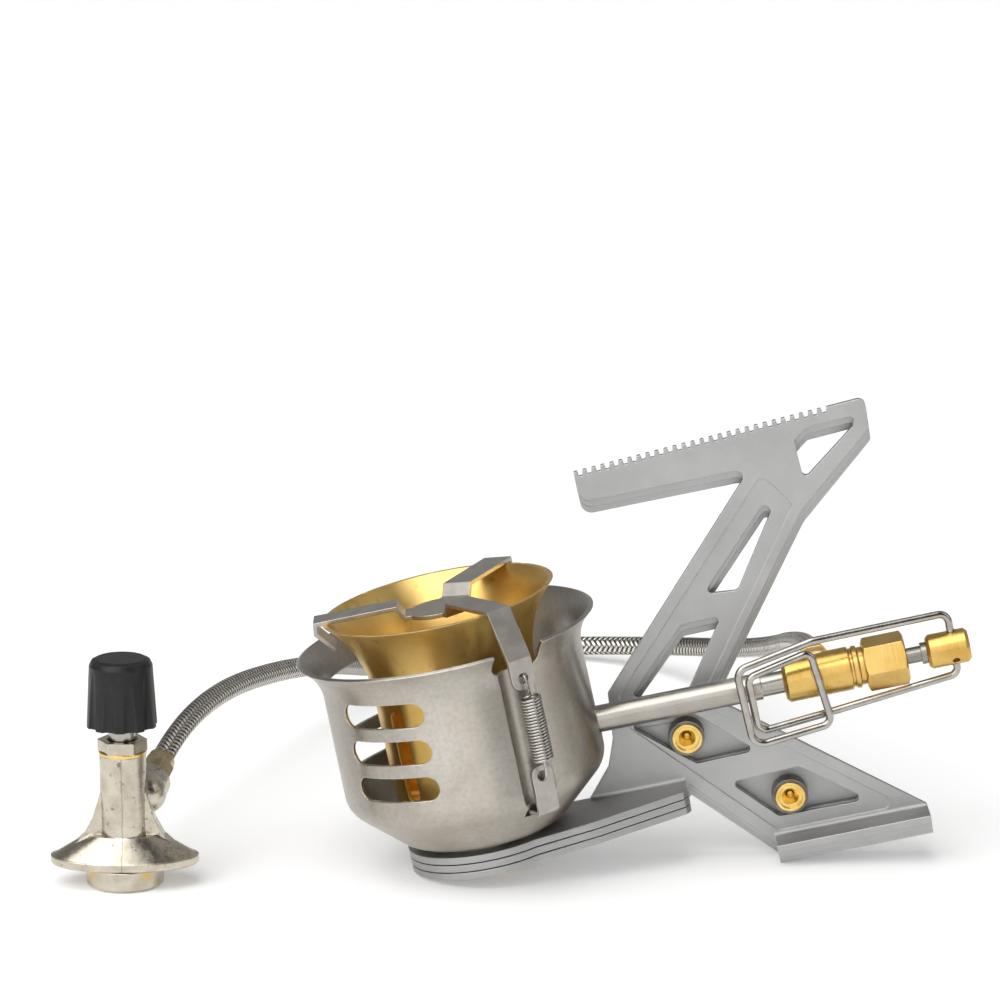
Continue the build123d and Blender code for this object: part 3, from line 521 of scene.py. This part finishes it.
collar_nickel = dress(
    "plated_collar", shades=((0.47, 0.418, 0.333), (0.64, 0.588, 0.492)), rough=(0.14, 0.28),
    grain=cast_grain, stains=small_stains, edge_colour=plate_edge, edge=0.0003, bump=0.08,
    marks=strongest(*map(worn_through, worn_places)), mark_colour=(0.66, 0.43, 0.12))
put(collar_nickel, "valve_collar", "valve_gland")

# %% [markdown]
# ## Black pieces
# The valve's knob is moulded from matt black plastic with specks of dust on it, and the seals are rubber.
# Neither is a metal. Plain black would look like a hole, so both have the recipe's grain and paler edges.

# %% Knob and seals
dust = peaks(pattern(plain_place, scale=1500), low=0.66, high=0.74, strength=0.5)
black = dress(
    "moulded_black", shades=((0.009, 0.0086, 0.0086), (0.016, 0.0153, 0.015)), rough=(0.32, 0.46),
    grain=small_grain, stains=small_stains, edge_colour=(0.085, 0.085, 0.085), edge=0.0004, bump=0.2,
    marks=dust, mark_colour=(0.07, 0.068, 0.065), metallic=0.0)
black.node_tree.nodes["Principled BSDF"].inputs["Specular IOR Level"].default_value = 0.35
put(black, "valve_knob")

seal_black = dress(
    "seal_rubber", shades=((0.014, 0.014, 0.014), (0.024, 0.023, 0.022)), rough=(0.6, 0.8),
    grain=small_grain, stains=small_stains, edge_colour=(0.03, 0.03, 0.03), bump=0.1, metallic=0.0)
put(seal_black, "valve_seal", "spindle_packing")

# %% [markdown]
# ## Tension spring
# The real spring is wound shut: its turns touch. A screw modifier could wind the coil, but not its hooks.
# So the wire is one line that starts in the lower hook, widens into the coil and closes into the upper
# hook. It is worked out in the burner's leaning frame and given the thickness of the wire.

# %% Beside the burner
millimetre = 0.001
spring_away, spring_turn = 33.2, math.radians(-60)
tube_way = Vector((burner_axis[2], 0, -burner_axis[0]))
side_way = Vector((0, 1, 0))
up_way = Vector(burner_axis)
outward = tube_way * math.cos(spring_turn) + side_way * math.sin(spring_turn)
sideways = side_way * math.cos(spring_turn) - tube_way * math.sin(spring_turn)


def at_spring(x, y, z):
    """A point of the frame, from millimetres outward from the coil's axis, round the burner and up."""
    return Vector(hub) + (outward * (spring_away + x) + sideways * y + up_way * z) * millimetre


print("foot of the coil's axis at", tuple(at_spring(0, 0, 0)))

# %% Spring wire
turns, turn_points, coil_radius = 22, 24, 2.1
coil_low, coil_high = 28.3, 43.2
low_hook, low_level, high_hook, high_level = 1.75, 25.8, 1.35, 46.2
hook_points, hook_end = 12, 0.3
closing, narrowest = 1.6, 0.1  # how fast the coil widens at its ends, and what it starts from


def half_ring(radius, level, start):
    """Half a turn of a hook that stands upright and touches the coil's axis."""
    bends = [start + math.pi * n / hook_points for n in range(hook_points + 1)]
    return [at_spring(radius * (math.cos(bend) - 1), 0, level + radius * math.sin(bend)) for bend in bends]


wire = [at_spring(-2 * low_hook, 0, low_level + hook_end)] + half_ring(low_hook, low_level, math.pi)
for n in range(turns * turn_points + 1):
    share = n / (turns * turn_points)
    to_the_end = min(share, 1 - share) * turns
    radius = coil_radius * min(1, to_the_end * closing + narrowest)
    angle = 2 * math.pi * n / turn_points
    height = coil_low + share * (coil_high - coil_low)
    wire.append(at_spring(radius * math.cos(angle), radius * math.sin(angle), height))
wire += half_ring(high_hook, high_level, 0)
print("spring", turns, "turns,", len(wire), "points")

# %% Spring piece
wire_radius = 0.0003


def curve(name, kind, places):
    """A curve of one open spline with those points."""
    data = bpy.data.curves.new(name, "CURVE")
    data.dimensions = "3D"
    spline = data.splines.new(kind)
    spline.points.add(len(places) - 1)
    for knot, place in zip(spline.points, places):
        knot.co = (*place, 1)
    return stand(name, data)


spring = curve("closed_spring", "POLY", wire)
spring.data.bevel_depth = wire_radius
spring.data.bevel_resolution = 2
spring.data.use_fill_caps = True
spring.data.materials.append(wire_steel)
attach(spring, "stove")
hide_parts("clip_spring")
print(spring.name, "in place of clip_spring")

# %% [markdown]
# ## Hose route
# The hose lies in one loose bow behind the stove, from the valve to the control block. Its route is a
# few given points, with a NURBS spline that runs smoothly past them. A curve that goes through
# every point would sway at each of them.

# %% Hose route
route = [(-0.07763, 0.00592, 0.02294), (-0.0722, 0.03254, 0.02971), (-0.04971, 0.101, 0.0205),
         (-0.02771, 0.157, 0.0036), (0.00629, 0.187, 0.002), (0.04229, 0.169, 0.0066),
         (0.06229, 0.114, 0.020), (0.06862, 0.05169, 0.03925), (0.0676, 0.01604, 0.04415)]


def hose_curve(name):
    """The route as a smooth curve. Its order counts only when it is set after the points."""
    made = curve(name, "NURBS", route)
    spline = made.data.splines[0]
    spline.order_u = 3
    spline.use_endpoint_u = True
    spline.resolution_u = 40
    return made


line = hose_curve("hose_line")
bpy.context.view_layer.update()
run = [vertex.co.copy() for vertex in bpy.data.meshes.new_from_object(line).vertices]
bpy.data.objects.remove(line)
travelled = [0.0]
for before, after in zip(run, run[1:]):
    travelled.append(travelled[-1] + (after - before).length)
hose_length = travelled[-1]
print("hose points", len(run), "length", round(hose_length, 4), "lowest", min(point.z for point in run))

# %% [markdown]
# ## Braided sleeve
# The hose is a rubber core in a sleeve of steel strands. Eight run round it one way and eight the other,
# each going over two and under two, which lines the stitches up in rows of chevrons. A bump pattern would
# leave the outline smooth, so each strand is a narrow band of its own that follows points read from the
# route's spline and rises and dives as it goes.

# %% Frames along the hose
lay = 0.0125  # the length in which a strand goes once round the hose
steps_per_lay = 48
steps = int(hose_length / lay * steps_per_lay)


def along(distance):
    """The point at a distance along the hose, and the direction of the hose there."""
    low = min(bisect_right(travelled, distance), len(run) - 1) - 1
    share = (distance - travelled[low]) / (travelled[low + 1] - travelled[low])
    back, front = max(low - 1, 0), min(low + 2, len(run) - 1)
    return run[low].lerp(run[low + 1], share), (run[front] - run[back]).normalized()


def frames(count):
    """Points with a side, an up and a forward direction that turn with the hose and never spin about it."""
    made, side = [], along(0)[1].orthogonal()
    for n in range(count):
        place, forward = along(hose_length * n / (count - 1))
        side = (side - forward * side.dot(forward)).normalized()
        made.append((place, side, forward.cross(side), forward))
    return made


guide = frames(steps)
print("frames", len(guide))

# %% Strands
carriers, band_points = 8, 3  # strands each way, and points across one
weave_radius, weave_lift, band_crown = 0.00226, 0.00012, 0.00011
room = 1 / (2 * carriers)  # for one strand, in turns round the hose and in lays along it
band_share = 0.76  # of that room
row_place = 0.25  # turns the rows of stitches round the hose


def strand(hand, carrier):
    """Points across one strand, step by step, each with its share of the width and of the rise."""
    for n, (place, side, up, forward) in enumerate(guide):
        turn = carrier / carriers + hand * hose_length * n / (steps - 1) / lay
        wave = hand * math.cos(math.pi * (carriers * turn - row_place))
        for m in range(band_points):
            share = m / (band_points - 1)
            across = (share - 0.5) * band_share * room
            angle = 2 * math.pi * (turn + across)
            out = weave_radius + weave_lift * wave + band_crown * (1 - abs(2 * share - 1))
            spoke = side * math.cos(angle) + up * math.sin(angle)
            yield place - forward * (hand * across * lay) + spoke * out, (share, 0.5 + 0.5 * wave)


def band_faces(first, hand):
    """The faces of one strand, turned outward, whose points start at first."""
    for n in range(steps - 1):
        for m in range(band_points - 1):
            a = first + n * band_points + m
            face = (a, a + 1, a + band_points + 1, a + band_points)
            yield face if hand == 1 else face[::-1]


braid_angle = math.degrees(math.atan(2 * math.pi * weave_radius / lay))
print(2 * carriers, "strands at", round(braid_angle), "degrees to the hose")

# %% Sleeve
points, shares, faces = [], [], []
for hand in (1, -1):
    for carrier in range(carriers):
        faces.extend(band_faces(len(points), hand))
        for point, share in strand(hand, carrier):
            points.append(point)
            shares.append(share)
sleeve_mesh = bpy.data.meshes.new("hose_sleeve")
sleeve_mesh.from_pydata(points, [], faces)
band_map = sleeve_mesh.uv_layers.new(name="band")
for loop in sleeve_mesh.loops:
    band_map.data[loop.index].uv = shares[loop.vertex_index]
sleeve_mesh.polygons.foreach_set("use_smooth", [True] * len(sleeve_mesh.polygons))
sleeve = stand("hose_sleeve", sleeve_mesh)
print("sleeve", len(points), "points,", len(faces), "faces")

# %% Core
rubber_radius = 0.0023
core = hose_curve("hose_core")
core.data.bevel_depth = rubber_radius
core.data.bevel_resolution = 6
core.data.materials.append(seal_black)
print("core", 2 * rubber_radius, "m thick")

# %% [markdown]
# ## Braid finish
# The strands are bright steel wires side by side. A braid reads from afar by the shade in its gaps, which
# is painted here. Each point knows how far across its strand it lies and how high the strand rides there,
# so painted shade goes along the sides of a strand, and painted shadow where it dives under the others.

# %% Braid finish
wires_in_a_strand = 3
# Painted shade across each strand, and painted shadow by how high the strand rides
side_shade_stops = [(0.0, 1.0), (0.34, 0.0), (0.66, 0.0), (1.0, 1.0)]
dive_shadow_stops = [(0.42, 0.8), (0.52, 0.45), (0.68, 0.0)]


def band_place(tree):
    """X: how far across its strand a point lies. Y: how high the strand rides there. Both from 0 to 1."""
    return split(tree, add(tree, "ShaderNodeUVMap", uv_map="band").outputs["UV"])


def strand_wires(tree):
    """Fine wires side by side in each strand."""
    return calc(tree, "SINE", calc(tree, "MULTIPLY", band_place(tree)["X"], wires_in_a_strand * 2 * math.pi))


def painted_side_shade(tree):
    """Painted shade along both sides of a strand, where the gaps between strands lie."""
    return ramp(tree, band_place(tree)["X"], side_shade_stops)


def painted_dive_shadow(tree):
    """Painted shadow where a strand dives under the others."""
    return ramp(tree, band_place(tree)["Y"], dive_shadow_stops)


# The mark colour is the painted shade in the gaps and the painted shadow where strands dive
braid = dress(
    "braid_wire", shades=((0.82, 0.78, 0.71), (0.94, 0.90, 0.83)), rough=(0.20, 0.34),
    grain=strand_wires, stains=small_stains, edge_colour=(0.78, 0.74, 0.67), edge=0.00002, bump=0.3,
    marks=strongest(painted_side_shade, painted_dive_shadow), mark_colour=(0.03, 0.027, 0.022))
sleeve_mesh.materials.append(braid)
print(braid.name, "on", sleeve.name)

# %% [markdown]
# ## Hose in the frame
# Both pieces stand for the CAD hose, which is hidden, and both hang from the stove's body.

# %% Hose pieces
for piece in (sleeve, core):
    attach(piece, "stove")
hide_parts("hose")
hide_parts("hose")
print("hose of", sleeve.name, "and", core.name)
